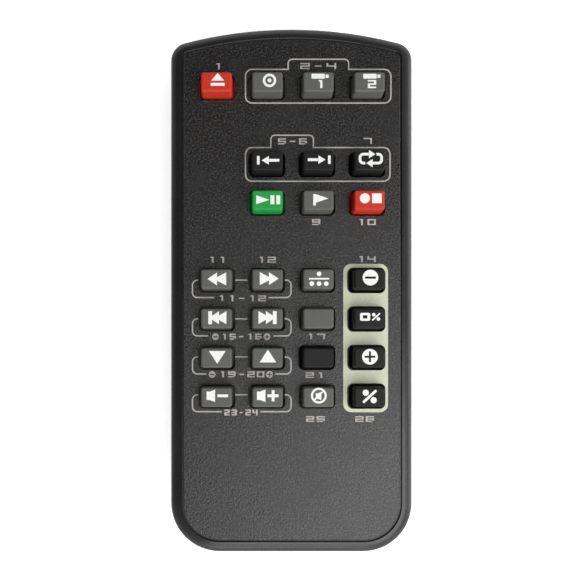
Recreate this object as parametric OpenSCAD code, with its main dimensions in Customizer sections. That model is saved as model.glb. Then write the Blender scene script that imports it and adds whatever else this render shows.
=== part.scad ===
// Hand-held infrared remote control with 26 rubber keys, lying on its back.
// X is across, +Y runs up the length to the infrared end, +Z rises to the key tops. Millimetres.

/* [Case] */
// Length from the battery end to the infrared end
case_length = 120.5; // [118:0.5:130]
// Width across the two sides
case_width = 55.6; // [54.4:0.2:60]
// Height of the face panel above the back
case_height = 21.6; // [21.2:0.1:24]
// Radius of the bowed infrared end
end_arc_radius = 98; // [75:1:130]
// Outline corner radius at the infrared end
top_corner = 4.2; // [4.1:0.1:5]
// Outline corner radius at the battery end
bottom_corner = 11.3; // [10:0.1:11.4]
// Side walls of both shells and the floor of the rear case
wall = 2; // [1.8:0.1:2.2]
// Height of the line where the shells meet
parting_z = 10.4; // [9.6:0.1:10.8]
// Round of the rear edge
rear_round = 3; // [1.5:0.1:3.2]
// Draft of the rear case's sides, in degrees
rear_draft = 3; // [1:0.5:4]
// Height of the tongue that centres the two shells
tongue_height = 1; // [0.6:0.1:1.4]
// Clearance round the tongue
tongue_gap = 0.1; // [0.05:0.01:0.15]

/* [Face] */
// Thickness of the cover's face together with the panel
face_wall = 2; // [1.8:0.1:2.4]
// Width of the rounded rim round the panel
rim_width = 2.72; // [2.3:0.02:2.8]
// Crown radius of the rim
rim_crown = 5; // [4:0.1:7]
// Round where the rim rolls into the sides
edge_round = 1; // [0.6:0.1:1.2]
// Slope of the rim beside the panel, in degrees
rim_slope = 8; // [4:1:12]
// How far the rim lies below the panel
rim_drop = 0.15; // [0.05:0.01:0.3]
// Bevel on the rim's inner edge, beside the groove
rim_bevel = 0.16; // [0.05:0.01:0.3]
// Groove between the rim and the panel
panel_groove = 0.36; // [0.2:0.02:0.5]
// Thickness of the grained face panel
panel_thickness = 0.6; // [0.4:0.05:0.8]
// Bevel on the panel's upper edge
panel_bevel = 0.15; // [0.1:0.01:0.25]

/* [Keys] */
// Distance between key columns
column_pitch = 11.4; // [11:0.1:11.6]
// Distance between key rows
row_pitch = 8.8; // [8.6:0.1:9]
// Distance from the infrared end to the first key row
first_row_inset = 14.1; // [14:0.1:15]
// Key length across the case, at the skirt
key_length = 7.3; // [6.8:0.1:7.4]
// Key width along the case, at the skirt
key_width = 4.9; // [4.6:0.1:5]
// Height of the keys above the panel
key_rise = 3.5; // [1.6:0.1:3.6]
// Corner radius of a key seen from above
key_corner = 0.55; // [0.5:0.05:1]
// Round along a key's top edges
key_round = 0.4; // [0.25:0.05:0.45]
// Taper of a key on every side, from the skirt to the top
key_taper = 0.25; // [0.1:0.01:0.3]
// Length of a key opening in the panel
opening_length = 8.4; // [8.2:0.1:8.6]
// Width of a key opening in the panel
opening_width = 5.7; // [5.6:0.1:5.9]
// Corner radius of a key opening
opening_corner = 1.25; // [0.7:0.05:1.4]
// Press depth of a key
key_travel = 1.15; // [0.8:0.05:1.2]
// How far the skirt under the face reaches past the opening
skirt_reach = 0.25; // [0.2:0.05:0.3]
// Slit between a skirt and the lip of the mat
lip_slit = 0.15; // [0.1:0.01:0.2]
// Thickness of the lip round each key
lip_wall = 0.5; // [0.4:0.05:0.6]
// Height of the contact pill under a key
pill_height = 0.4; // [0.3:0.05:0.45]
// Diameter of the contact pill
pill_diameter = 3.4; // [2.6:0.1:4]

/* [Keypad and board] */
// Thickness of the silicone sheet
sheet_thickness = 1.2; // [1:0.05:1.3]
// Room between the sheet and the cover's face
web_room = 1.4; // [1.3:0.05:1.5]
// Air between the skirts or lips and the cover
skirt_air = 0.2; // [0.1:0.05:0.25]
// Sheet margin outside the outer lips
sheet_margin = 0.9; // [0.6:0.1:1]
// Thickness of the circuit board
board_thickness = 1.2; // [1:0.1:1.3]
// Gap between the board's edge and the case walls
board_gap = 0.4; // [0.2:0.05:0.6]
// Gap between the board screws' bosses and the case walls
boss_gap = 0.7; // [0.5:0.1:1]
// Distance from the infrared end to the board's edge
board_inset = 6; // [5.6:0.1:7]
// Width of the ribs that hold the sheet down
rib_width = 0.9; // [0.6:0.1:1]

/* [Parts on the board] */
// Length of the controller chip
chip_length = 15.4; // [14:0.2:18]
// Width of the controller chip
chip_width = 7.5; // [6:0.1:8]
// Height of the controller chip
chip_height = 2.3; // [1.8:0.1:2.6]
// Pitch of the chip's legs
leg_pitch = 1.27; // [1:0.01:1.27]
// Length of the resonator
resonator_length = 8; // [6:0.5:9]
// Height of the resonator
resonator_height = 5; // [4:0.5:6]
// Diameter of the smoothing capacitor
capacitor_diameter = 5; // [4:0.5:6]
// Height of the smoothing capacitor
capacitor_height = 5.4; // [4:0.2:6]
// Length of a chip resistor
resistor_length = 2; // [1.6:0.1:3.2]

/* [Battery bay] */
// Diameter of an AAA cell
cell_diameter = 10.5; // [10.2:0.05:10.5]
// Length of an AAA cell with its cap
cell_length = 44.5; // [43.6:0.1:44.6]
// Distance between the two cells
cell_gap = 0.7; // [0.5:0.1:1]
// Air between a cell and the bay
cell_air = 0.3; // [0.2:0.05:0.35]
// Wall of the bay
bay_wall = 1.2; // [0.9:0.1:1.3]
// Gap between the door's end lip and the bay
bay_setback = 0.3; // [0.2:0.05:0.5]
// Thickness of the sheet metal contacts
contact_thickness = 0.3; // [0.2:0.05:0.4]
// Width of a contact plate for one cell
contact_width = 8.4; // [7.6:0.1:9]
// Free length of a fitted contact spring
spring_length = 5.2; // [4.6:0.1:5.6]
// Wire diameter of the contact springs
spring_wire = 0.6; // [0.5:0.05:0.7]
// Radius of a spring where it sits on its contact
spring_base_radius = 3.3; // [3:0.1:3.5]
// Radius of a spring where it touches the cell
spring_tip_radius = 2.3; // [1.8:0.1:2.6]
// Turns of a contact spring
spring_turns = 4.5; // [4:0.25:5]

/* [Battery door] */
// Length of the door along the case
door_length = 56; // [55.6:0.1:57]
// Half width of the door's outer plate
door_half = 14.4; // [14:0.1:14.6]
// How far the side tongues reach past the outer plate
door_tongue = 1.6; // [1.2:0.05:1.6]
// Thickness of the case lip below a side tongue
rail_lip = 1; // [0.8:0.05:1.1]
// Thickness of the side tongues
tongue_thickness = 1; // [0.8:0.05:1]
// Height of the door's end lip
door_lip_height = 8; // [6:0.1:8]
// Clearance round the sliding door
door_gap = 0.15; // [0.1:0.01:0.18]
// Length of the finger grooves on the door
grip_length = 14; // [8:0.5:20]
// Number of finger grooves on the door
grip_count = 6; // [3:1:9]
// Distance between finger grooves
grip_pitch = 1.6; // [1.4:0.1:2]

/* [Infrared end] */
// Width of the infrared window
window_width = 18; // [12:0.5:20]
// Height of the window's top edge
window_top = 15.9; // [15.4:0.05:16.2]
// Clearance round the window
window_gap = 0.1; // [0.05:0.01:0.15]
// How far the window's flange reaches past its opening
window_flange = 1.4; // [1:0.1:1.8]
// Diameter of the emitter
led_diameter = 5; // [4.6:0.1:5]
// Length of the emitter from flange to tip
led_length = 8.6; // [8:0.1:8.8]
// Gap between the emitter's tip and the window
led_gap = 0.5; // [0.3:0.05:0.8]

/* [Screws] */
// Thread diameter of the case screws
case_screw = 2.4; // [2.2:0.1:2.6]
// Head diameter of the case screws
case_screw_head = 4.4; // [4:0.1:4.6]
// Length of the case screws below the head
case_screw_length = 12; // [10:0.5:13]
// Depth of the screw head's seat above the back
screw_seat = 4; // [3:0.1:5]
// Thread diameter of the board screws
board_screw = 2; // [1.8:0.1:2.1]
// Head diameter of the board screws
board_screw_head = 3.6; // [3.2:0.1:3.8]
// Clearance round a screw's thread
screw_gap = 0.05; // [0.03:0.01:0.08]

/* [Hidden] */
$fn = 96;
e = 0.01;

// Every key: column from the left, row from the infrared end on the grid.
KEYS = [
  [0, 0], [1, 0], [2, 0], [3, 0],
  [1, 2], [2, 2], [3, 2],
  [1, 3], [2, 3], [3, 3],
  [0, 5], [1, 5], [2, 5], [3, 5],
  [0, 6], [1, 6], [2, 6], [3, 6],
  [0, 7], [1, 7], [2, 7], [3, 7],
  [0, 8], [1, 8], [2, 8], [3, 8]
];

black_plastic = [0.17, 0.17, 0.18];
panel_grey = [0.24, 0.24, 0.25];
key_red = [0.89, 0.24, 0.18];
key_green = [0.16, 0.59, 0.28];
key_grey = [0.4, 0.4, 0.39];
key_black = [0.12, 0.12, 0.12];

// Outline: a straight-sided body, two round corners and one bowed end.
half = case_width / 2;
end_y = case_length / 2;
tc_x = half - top_corner;
arc_angle = round(asin(tc_x / (end_arc_radius - top_corner)) * 1000) / 1000;
bow_radius = top_corner + tc_x / sin(arc_angle);
arc_y = end_y - bow_radius;
tc_y = arc_y + (bow_radius - top_corner) * cos(arc_angle);
bc_x = half - bottom_corner;
bc_y = bottom_corner - end_y;
arc_reach = bow_radius / cos(arc_angle) + 2;

// Rim section: small round tangent to the side and to the crown.
rim_top = case_height - rim_drop;
rim_x = rim_width + rim_crown * sin(rim_slope);
rim_z = rim_top - rim_crown * cos(rim_slope);
shoulder_z = rim_z + sqrt(pow(rim_crown - edge_round, 2) - pow(rim_x - edge_round, 2));

// Rear edge section: a drafted side tangent to the round.
rear_x = (rear_round + (parting_z - rear_round) * sin(rear_draft)) / cos(rear_draft);
lap = min(rear_x + 0.4, top_corner - 0.15);

// Stack under the face.
cover_under = case_height - face_wall;
recess_z = case_height - panel_thickness;
sheet_top = cover_under - web_room;
sheet_bottom = sheet_top - sheet_thickness;
board_bottom = sheet_bottom - board_thickness;
skirt_top = cover_under - skirt_air;
contact_air = 0.05;
key_base = sheet_bottom + contact_air + key_travel + pill_height;
key_top = case_height + key_rise;
panel_inset = rim_width + panel_groove;

function col_x(c) = (c - 1.5) * column_pitch;
function row_y(r) = end_y - first_row_inset - r * row_pitch;

skirt_length = opening_length + 2 * skirt_reach;
skirt_width = opening_width + 2 * skirt_reach;
lip_hole_length = skirt_length + 2 * lip_slit;
lip_hole_width = skirt_width + 2 * lip_slit;
lip_length = lip_hole_length + 2 * lip_wall;
lip_width = lip_hole_width + 2 * lip_wall;
sheet_half = min(col_x(3) + lip_length / 2 + sheet_margin, half - wall - board_gap);
sheet_high = row_y(0) + lip_width / 2 + sheet_margin;
sheet_low = row_y(8) - lip_width / 2 - sheet_margin;

// Battery stack above the door.
door_top = rail_lip + door_gap + tongue_thickness;
rail_top = door_top + door_gap;
cell_z = rail_top + 0.2 + cell_diameter / 2;
cell_x = (cell_diameter + cell_gap) / 2;
cell_radius = cell_diameter / 2;
bay_radius = cell_radius + cell_air;
bay_low = wall + bay_setback + bay_wall - end_y;
bay_high = bay_low + 2 * contact_thickness + cell_length + spring_length;
door_wide = door_half + door_tongue;
rail_wall = 1.2;
plate_low = cell_z - contact_width / 2;
plate_high = cell_z + sqrt(pow(cell_radius, 2) - pow(contact_width / 2, 2));
link_high = cell_z - 0.3;

// Screws.
case_boss = case_screw / 2 + 1.3;
case_boss_x = half - wall - 5.1;
case_boss_high = arc_y + sqrt(pow(bow_radius - wall, 2) - pow(case_boss_x, 2)) - 3.1;
case_boss_low = bc_y - 0.3;
tube_radius = case_screw_head / 2 + 1.2;
seat_wall = 1.2;
tube_top = screw_seat + 4.4;
board_boss = board_screw / 2 + 0.9;
board_boss_x = half - wall - boss_gap - board_boss;
board_boss_rows = [row_y(1), row_y(4)];
board_screw_length = board_thickness + sheet_thickness + web_room + 0.8;

// Board and emitter.
board_high = end_y - board_inset;
board_low = sheet_low - 1.5;
led_z = board_bottom - 0.1 - led_diameter / 2 - 0.4;
window_back = wall + 1.2;
led_tip_y = end_y - window_back - led_gap;
led_base_y = led_tip_y - led_length;

module outline(d) {
  translate([d - half, bc_y])
    square([2 * (half - d), tc_y - bc_y]);
  translate([-bc_x, d - end_y])
    square([2 * bc_x, bottom_corner - d]);
  for (s = [-1, 1]) {
    translate([s * bc_x, bc_y])
      circle(r = bottom_corner - d);
    translate([s * tc_x, tc_y])
      circle(r = top_corner - d);
  }
  intersection() {
    translate([0, arc_y])
      circle(r = bow_radius - d, $fn = 360);
    polygon([
      [-tc_x, tc_y], [tc_x, tc_y],
      [arc_reach * sin(arc_angle), arc_y + arc_reach * cos(arc_angle)],
      [-arc_reach * sin(arc_angle), arc_y + arc_reach * cos(arc_angle)]
    ]);
  }
}

// Moves in two steps, the second under a hundredth, which keeps a long decimal exact.
module place(to) {
  near = [for (c = to) floor(c * 100) / 100];
  translate(near) translate(to - near) children();
}

// Carries an edge section (inset from the outline, height) once round the case.
// Each side is two lengths that overlap at the middle, and the bow is two halves.
module round_the_case() {
  for (s = [0, 1]) mirror([s, 0, 0]) {
    place([half, tc_y, 0])
      rotate([90, 0, 0])
        linear_extrude(tc_y + 1) mirror([1, 0]) children();
    translate([half, 1, 0])
      rotate([90, 0, 0])
        linear_extrude(1 - bc_y) mirror([1, 0]) children();
    translate([bc_x, bc_y, 0])
      rotate([0, 0, -90])
        rotate_extrude(angle = 90) translate([bottom_corner, 0]) mirror([1, 0]) children();
    place([tc_x, tc_y, 0])
      rotate_extrude(angle = 90 - arc_angle) translate([top_corner, 0]) mirror([1, 0]) children();
    place([0, arc_y, 0])
      rotate([0, 0, 90])
        rotate_extrude(angle = arc_angle, $fn = 360)
          place([bow_radius, 0]) mirror([1, 0]) children();
  }
  translate([-bc_x, -end_y, 0])
    rotate([90, 0, 90])
      linear_extrude(2 * bc_x) children();
}

module rounded(l, w, r) {
  square([l - 2 * r, w], center = true);
  square([l, w - 2 * r], center = true);
  for (x = [-1, 1], y = [-1, 1])
    translate([x * (l / 2 - r), y * (w / 2 - r)])
      circle(r = r, $fn = 48);
}

module at_keys() {
  for (k = KEYS)
    translate([col_x(k[0]), row_y(k[1]), 0])
      children();
}

module at_case_screws() {
  for (s = [-1, 1], y = [case_boss_low, case_boss_high])
    translate([s * case_boss_x, y, 0])
      children();
}

module at_board_screws() {
  for (s = [-1, 1], y = board_boss_rows)
    translate([s * board_boss_x, y, 0])
      children();
}

// ---- Top cover ----
module cover_edge() {
  difference() {
    union() {
      translate([0, parting_z])
        square([wall, shoulder_z - parting_z]);
      translate([edge_round, shoulder_z])
        circle(r = edge_round);
      intersection() {
        translate([rim_x, rim_z])
          circle(r = rim_crown);
        polygon([
          [edge_round, shoulder_z], [rim_width, shoulder_z], [rim_width, rim_top - rim_bevel],
          [rim_width - rim_bevel, rim_top], [rim_width - rim_bevel, case_height],
          [edge_round - (rim_x - edge_round) * 1.2, shoulder_z + (shoulder_z - rim_z) * 1.2]
        ]);
      }
    }
    // Room for the rear case's tongue.
    translate([wall / 2, parting_z - 1])
      square([wall, tongue_height + tongue_gap + 1]);
    // Shadow line along the parting.
    translate([-1, parting_z - 1])
      square([1.25, 1.25]);
  }
}

module top_cover() {
  color(black_plastic)
  difference() {
    union() {
      round_the_case() cover_edge();
      translate([0, 0, cover_under])
        linear_extrude(recess_z - cover_under) outline(wall - 0.2);
      // Ribs that hold the silicone sheet against the board.
      for (x = [col_x(0.5), 0, col_x(2.5)])
        translate([x - rib_width / 2, sheet_low + 1, sheet_top + 0.05])
          cube([rib_width, sheet_high - sheet_low - 2, web_room]);
      for (r = [1, 4])
        translate([1 - sheet_half, row_y(r) - rib_width / 2, sheet_top + 0.05])
          cube([2 * sheet_half - 2, rib_width, web_room]);
      at_board_screws()
        translate([0, 0, sheet_bottom])
          cylinder(r = board_boss, h = cover_under - sheet_bottom + 0.5);
      at_case_screws()
        translate([0, 0, tube_top])
          cylinder(r = case_boss, h = cover_under - tube_top + 0.5);
    }
    at_keys()
      translate([0, 0, cover_under - 1])
        linear_extrude(face_wall + 2)
          rounded(opening_length + 0.2, opening_width + 0.2, opening_corner + 0.1);
    at_board_screws()
      translate([0, 0, sheet_bottom - 1])
        cylinder(d = board_screw + 2 * screw_gap, h = board_screw_length + 0.3);
    at_case_screws()
      translate([0, 0, tube_top - 1])
        cylinder(d = case_screw + 2 * screw_gap, h = screw_seat + case_screw_length - tube_top + 1.5);
    // Opening for the infrared window.
    translate([-window_width / 2, end_y - wall - 6, parting_z - 1])
      cube([window_width, wall + 7, window_top + window_gap - parting_z + 1]);
  }
}

// ---- Face panel ----
module panel_edge() {
  translate([panel_inset, recess_z])
    square([lap - panel_inset, panel_thickness - panel_bevel]);
  polygon([
    [panel_inset, case_height - panel_bevel - e], [lap, case_height - panel_bevel - e],
    [lap, case_height], [panel_inset + panel_bevel, case_height],
    [panel_inset, case_height - panel_bevel]
  ]);
}

module face_panel() {
  color(panel_grey)
  difference() {
    union() {
      round_the_case() panel_edge();
      translate([0, 0, recess_z])
        linear_extrude(panel_thickness) outline(lap - 0.4);
    }
    at_keys()
      translate([0, 0, recess_z - 1])
        linear_extrude(panel_thickness + 2)
          rounded(opening_length, opening_width, opening_corner);
  }
}

// ---- Rear case ----
module rear_section() {
  translate([rear_x, rear_round])
    circle(r = rear_round);
  polygon([
    [rear_x - rear_round * cos(rear_draft), rear_round - rear_round * sin(rear_draft)],
    [0, parting_z], [lap, parting_z], [lap, 0], [rear_x, 0], [rear_x, rear_round]
  ]);
}

module rear_edge() {
  intersection() {
    rear_section();
    union() {
      square([lap, wall - 0.4]);
      square([wall, parting_z]);
    }
  }
  translate([wall / 2 + tongue_gap, parting_z - 0.5])
    square([wall / 2 - tongue_gap, tongue_height + 0.5]);
}

module bay_section(r) {
  for (s = [-1, 1])
    translate([s * cell_x, cell_z])
      circle(r = r);
  translate([-cell_x - r, 0])
    square([2 * (cell_x + r), cell_z]);
}

module rear_case() {
  color(black_plastic)
  difference() {
    union() {
      round_the_case() rear_edge();
      linear_extrude(wall) outline(lap - 0.4);
      translate([0, 0, wall - 0.8])
        linear_extrude(0.8) outline(wall - 0.2);
      // Guides for the door and the bay above them.
      translate([-door_wide - door_gap - rail_wall, lap - 0.3 - end_y, 0])
        cube([2 * (door_wide + door_gap + rail_wall), door_length + 1.8 - lap, rail_top + 1.2]);
      translate([0, bay_low - bay_wall, 0])
        rotate([90, 0, 180])
          linear_extrude(bay_high - bay_low + 2 * bay_wall) bay_section(bay_radius + bay_wall);
      at_case_screws()
        cylinder(r = tube_radius, h = tube_top);
      // Posts under the board and stiffening ribs of the floor.
      for (s = [-1, 1], y = [row_y(2), row_y(7)])
        translate([s * (half - wall - 4.6) - 1.5, y - 1.5, 0])
          cube([3, 3, board_bottom - 0.05]);
      for (r = [1, 3])
        translate([3 - half, row_y(r) - 0.6, 0])
          cube([2 * half - 6, 1.2, wall + 2]);
      for (s = [-1, 1])
        translate([s * 10 - 0.6, bay_high + 3, 0])
          cube([1.2, row_y(1) - bay_high - 3, wall + 2]);
    }
    // The two cells and the way in from the back.
    translate([0, bay_low, 0])
      rotate([90, 0, 180])
        linear_extrude(bay_high - bay_low) union() {
          bay_section(bay_radius);
          translate([-cell_x - bay_radius, -1])
            square([2 * (cell_x + bay_radius), 2]);
        }
    // Slots for the contact tabs.
    for (s = [-1, 1])
      translate([s * cell_x - 1.6, bay_high - contact_thickness - 0.1, cell_z])
        cube([3.2, contact_thickness + 0.1, 12]);
    // The door's outer plate, its side tongues and its end lip.
    translate([-door_half - door_gap, -end_y - 1, -1])
      cube([2 * (door_half + door_gap), door_length + door_gap + 1, rail_lip + 1.5]);
    translate([-door_wide - door_gap, -end_y - 1, rail_lip])
      cube([2 * (door_wide + door_gap), door_length + door_gap + 1, rail_top - rail_lip]);
    translate([-door_wide - door_gap, -end_y - 1, -1])
      cube([2 * (door_wide + door_gap), lap - 0.25 + door_gap + 1, rail_top + 1]);
    translate([-door_wide - door_gap, -end_y - 1, 0])
      cube([2 * (door_wide + door_gap), wall + door_gap + 1, door_lip_height + door_gap]);
    at_case_screws() {
      translate([0, 0, -1])
        cylinder(d = case_screw_head + 0.4, h = screw_seat + 1);
      cylinder(d = case_screw + 0.5, h = tube_top + 1);
    }
    // The tongue stops on both sides of the infrared window.
    translate([-window_width / 2 - window_flange - 0.4, end_y - 8, parting_z])
      cube([window_width + 2 * window_flange + 0.8, 10, tongue_height + 2]);
  }
}

// ---- Battery door ----
module battery_door() {
  color(black_plastic)
  difference() {
    union() {
      translate([-door_wide, -end_y, 0])
        rotate([90, 0, 90])
          linear_extrude(2 * door_wide)
            intersection() {
              rear_section();
              union() {
                square([lap - 0.25, door_top]);
                square([wall, door_lip_height]);
              }
            }
      translate([-door_half, lap - 0.3 - end_y, 0])
        cube([2 * door_half, door_length - lap + 0.3, door_top]);
      translate([-door_wide, lap - 0.3 - end_y, rail_lip + door_gap])
        cube([2 * door_wide, door_length - lap + 0.3, tongue_thickness]);
    }
    // Finger grooves.
    for (i = [0 : grip_count - 1])
      translate([-grip_length / 2, door_length - end_y - 9 - i * grip_pitch, 0])
        rotate([0, 90, 0])
          cylinder(r = 0.5, h = grip_length, $fn = 32);
  }
}

// ---- Infrared window and emitter ----
module window_section() {
  translate([0.05, parting_z + 0.05])
    square([window_back - 0.05, window_top - parting_z - 0.05]);
}

module ir_window() {
  color([0.25, 0.03, 0.04])
  intersection() {
    translate([0, arc_y, 0])
      rotate([0, 0, 90 - arc_angle])
        rotate_extrude(angle = 2 * arc_angle, $fn = 360)
          translate([bow_radius, 0]) mirror([1, 0]) window_section();
    union() {
      translate([window_gap - window_width / 2, end_y - 10, parting_z])
        cube([window_width - 2 * window_gap, 11, 10]);
      translate([0, arc_y, 0])
        linear_extrude(case_height)
          intersection() {
            circle(r = bow_radius - wall - window_gap, $fn = 360);
            translate([-window_width / 2 - window_flange, bow_radius - 12])
              square([window_width + 2 * window_flange, 14]);
          }
    }
  }
}

module ir_led() {
  color([0.55, 0.6, 0.7]) {
    translate([0, led_base_y, led_z])
      rotate([-90, 0, 0])
        rotate_extrude()
          union() {
            square([led_diameter / 2 + 0.4, 1]);
            square([led_diameter / 2, led_length - led_diameter / 2]);
            intersection() {
              translate([0, led_length - led_diameter / 2])
                circle(d = led_diameter);
              square([led_diameter, led_length]);
            }
          }
    for (s = [-1, 1]) {
      translate([s * 1.27 - 0.25, led_base_y - 2, led_z - 0.25])
        cube([0.5, 2.3, 0.5]);
      translate([s * 1.27 - 0.25, led_base_y - 2, led_z - 0.25])
        cube([0.5, 0.5, board_bottom + board_thickness - 0.1 - led_z]);
    }
  }
}

// ---- Keypad mat ----
module keypad_mat() {
  color([0.2, 0.2, 0.2])
  difference() {
    union() {
      translate([-sheet_half, sheet_low, sheet_bottom])
        cube([2 * sheet_half, sheet_high - sheet_low, sheet_thickness]);
      at_keys()
        translate([0, 0, sheet_top - 0.2])
          linear_extrude(skirt_top - sheet_top + 0.2)
            rounded(lip_length, lip_width, 1.4);
    }
    at_keys()
      translate([0, 0, sheet_bottom - 1])
        linear_extrude(web_room + sheet_thickness + 2)
          rounded(lip_hole_length, lip_hole_width, 1);
    at_board_screws()
      translate([0, 0, sheet_bottom - 1])
        cylinder(r = board_boss + 0.2, h = sheet_thickness + web_room + 2);
    at_case_screws()
      translate([0, 0, sheet_bottom - 1])
        cylinder(r = case_boss + 0.3, h = sheet_thickness + web_room + 2);
  }
}

// ---- Circuit board ----
module circuit_board() {
  color([0.1, 0.35, 0.2])
  translate([0, 0, board_bottom])
    linear_extrude(board_thickness)
      difference() {
        intersection() {
          outline(wall + board_gap);
          translate([-half, board_low])
            square([2 * half, board_high - board_low]);
        }
        at_board_screws()
          circle(d = board_screw + 0.3);
        at_case_screws()
          circle(r = case_boss + 0.4);
        for (s = [-1, 1]) {
          translate([s * 1.27, led_base_y - 1.75])
            square(0.8, center = true);
          translate([s * cell_x, bay_high - contact_thickness / 2])
            square([3.4, contact_thickness + 0.4], center = true);
        }
      }
}

module controller_chip() {
  legs = floor(chip_length / leg_pitch);
  color([0.1, 0.1, 0.1])
  translate([0, row_y(2), board_bottom]) {
    translate([-chip_length / 2, -chip_width / 2, -chip_height - 0.1])
      cube([chip_length, chip_width, chip_height]);
    for (i = [0 : legs - 1], s = [-1, 1])
      translate([(i - (legs - 1) / 2) * leg_pitch - 0.2, 0, 0]) {
        translate([0, s * (chip_width / 2 + 0.55) - 0.9, -0.25])
          cube([0.4, 1.8, 0.25]);
        translate([0, s * chip_width / 2 - 0.3, -chip_height / 2 - 0.15])
          cube([0.4, 0.6, chip_height / 2 + 0.15]);
      }
  }
}

module resonator() {
  color([0.85, 0.6, 0.25])
  translate([column_pitch, row_y(4), board_bottom]) {
    translate([-resonator_length / 2, -1.6, -resonator_height - 0.5])
      cube([resonator_length, 3.2, resonator_height]);
    for (x = [-1, 0, 1])
      translate([x * resonator_length * 0.31, 0, -0.8])
        cylinder(d = 0.6, h = 0.8, $fn = 24);
  }
}

module smoothing_capacitor() {
  color([0.75, 0.76, 0.78])
  translate([-column_pitch, row_y(4), board_bottom]) {
    translate([-capacitor_diameter / 2 - 0.15, -capacitor_diameter / 2 - 0.15, -0.5])
      cube([capacitor_diameter + 0.3, capacitor_diameter + 0.3, 0.5]);
    translate([0, 0, -capacitor_height])
      cylinder(d = capacitor_diameter, h = capacitor_height, $fn = 64);
  }
}

module driver_transistor() {
  color([0.12, 0.12, 0.12])
  translate([9, row_y(0) - 2, board_bottom]) {
    translate([-1.5, -0.65, -1.1])
      cube([3, 1.3, 1]);
    for (p = [[-0.95, -1], [0.95, -1], [0, 1]])
      translate([p[0] - 0.2, p[1] * 0.9 - 0.35, -0.4])
        cube([0.4, 0.7, 0.4]);
  }
}

module resistors() {
  color([0.15, 0.15, 0.17])
  for (p = [[-9, row_y(0)], [-9, row_y(0) - 3], [0, row_y(4)]])
    translate([p[0] - resistor_length / 2, p[1] - 0.6, board_bottom - 0.5])
      cube([resistor_length, 1.2, 0.5]);
}

// ---- Cells and contacts ----
module cell() {
  rotate_extrude()
    union() {
      translate([0, 0])
        square([cell_radius - 0.4, cell_length - 1]);
      translate([0, 0.4])
        square([cell_radius, cell_length - 1.8]);
      square([1.9, cell_length]);
    }
}

module battery_left() {
  color([0.75, 0.6, 0.25])
  translate([-cell_x, bay_high - contact_thickness - cell_length, cell_z])
    rotate([-90, 0, 0])
      cell();
}

module battery_right() {
  color([0.75, 0.6, 0.25])
  translate([cell_x, bay_low + contact_thickness + cell_length, cell_z])
    rotate([90, 0, 0])
      cell();
}

module link_contact() {
  color([0.8, 0.8, 0.78]) {
    for (s = [-1, 1])
      translate([s * cell_x - contact_width / 2, bay_low, plate_low])
        cube([contact_width, contact_thickness, plate_high - plate_low]);
    translate([-cell_x, bay_low, plate_low])
      cube([2 * cell_x, contact_thickness, link_high - plate_low]);
  }
}

module end_contact(s) {
  color([0.8, 0.8, 0.78])
  translate([s * cell_x, bay_high - contact_thickness, 0]) {
    translate([-contact_width / 2, 0, plate_low])
      cube([contact_width, contact_thickness, plate_high - plate_low]);
    translate([-1.5, 0, plate_high - 1])
      cube([3, contact_thickness, board_bottom + board_thickness - plate_high + 0.9]);
  }
}

module positive_contact() {
  end_contact(-1);
}

module negative_contact() {
  end_contact(1);
}

// Conical coil along +Z with a closed turn at each end.
spring_steps = 14;
spring_sides = 8;
function coil_height(t) = let (w = spring_wire + 0.04, s = spring_length - w - 0.04)
  t < 0.75 ? w / 2 + 0.02 + 0.12 * t : t > spring_turns - 0.75 ?
  spring_length - w / 2 - 0.02 - 0.12 * (spring_turns - t) :
  w / 2 + 0.11 + (s - 0.14) * (t - 0.75) / (spring_turns - 1.5);
function coil_radius(t) = spring_base_radius
  + (spring_tip_radius - spring_base_radius) * t / spring_turns;

module contact_spring() {
  n = round(spring_turns * spring_steps);
  points = [
    for (i = [0 : n], k = [0 : spring_sides - 1])
      let (
        t = i / spring_steps,
        a = 360 * t,
        b = 360 * k / spring_sides,
        r = coil_radius(t) + spring_wire / 2 * cos(b)
      )
      [r * cos(a), r * sin(a), coil_height(t) + spring_wire / 2 * sin(b)]
  ];
  faces = concat(
    [[for (k = [0 : spring_sides - 1]) k]],
    [for (i = [0 : n - 1], k = [0 : spring_sides - 1])
      let (p = i * spring_sides, q = p + spring_sides, m = (k + 1) % spring_sides)
      [p + k, q + k, q + m, p + m]],
    [[for (k = [spring_sides - 1 : -1 : 0]) n * spring_sides + k]]
  );
  polyhedron(points, faces);
}

module link_spring() {
  color([0.85, 0.85, 0.86])
  translate([-cell_x, bay_low + contact_thickness, cell_z])
    rotate([-90, 0, 0])
      contact_spring();
}

module negative_spring() {
  color([0.85, 0.85, 0.86])
  translate([cell_x, bay_high - contact_thickness, cell_z])
    rotate([90, 0, 0])
      contact_spring();
}

// ---- Screws ----
module screw(head, head_height, shank, length) {
  difference() {
    union() {
      translate([0, 0, -head_height])
        cylinder(d = head, h = head_height, $fn = 48);
      translate([0, 0, -0.2])
        cylinder(d = shank, h = length + 0.2, $fn = 48);
    }
    // Cross recess.
    for (a = [0, 90])
      rotate([0, 0, a])
        translate([-head * 0.3, -head * 0.07, -head_height - 1])
          cube([head * 0.6, head * 0.14, 1 + head_height * 0.6]);
  }
}

module case_screws() {
  color([0.35, 0.35, 0.37])
  at_case_screws()
    translate([0, 0, screw_seat])
      screw(case_screw_head, 1.8, case_screw, case_screw_length);
}

module board_screws() {
  color([0.7, 0.7, 0.72])
  at_board_screws()
    translate([0, 0, board_bottom])
      screw(board_screw_head, 1.3, board_screw, board_screw_length);
}

// ---- Keys ----
// Half of a key's section: a drafted side with a rounded top edge.
module key_half(reach) {
  top = reach - key_taper;
  polygon([
    [0, key_base], [reach, key_base],
    [top, key_top - key_round], [top - key_round, key_top], [0, key_top]
  ]);
  translate([top - key_round, key_top - key_round])
    intersection() {
      circle(r = key_round, $fn = 48);
      square(key_round);
    }
}

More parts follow.
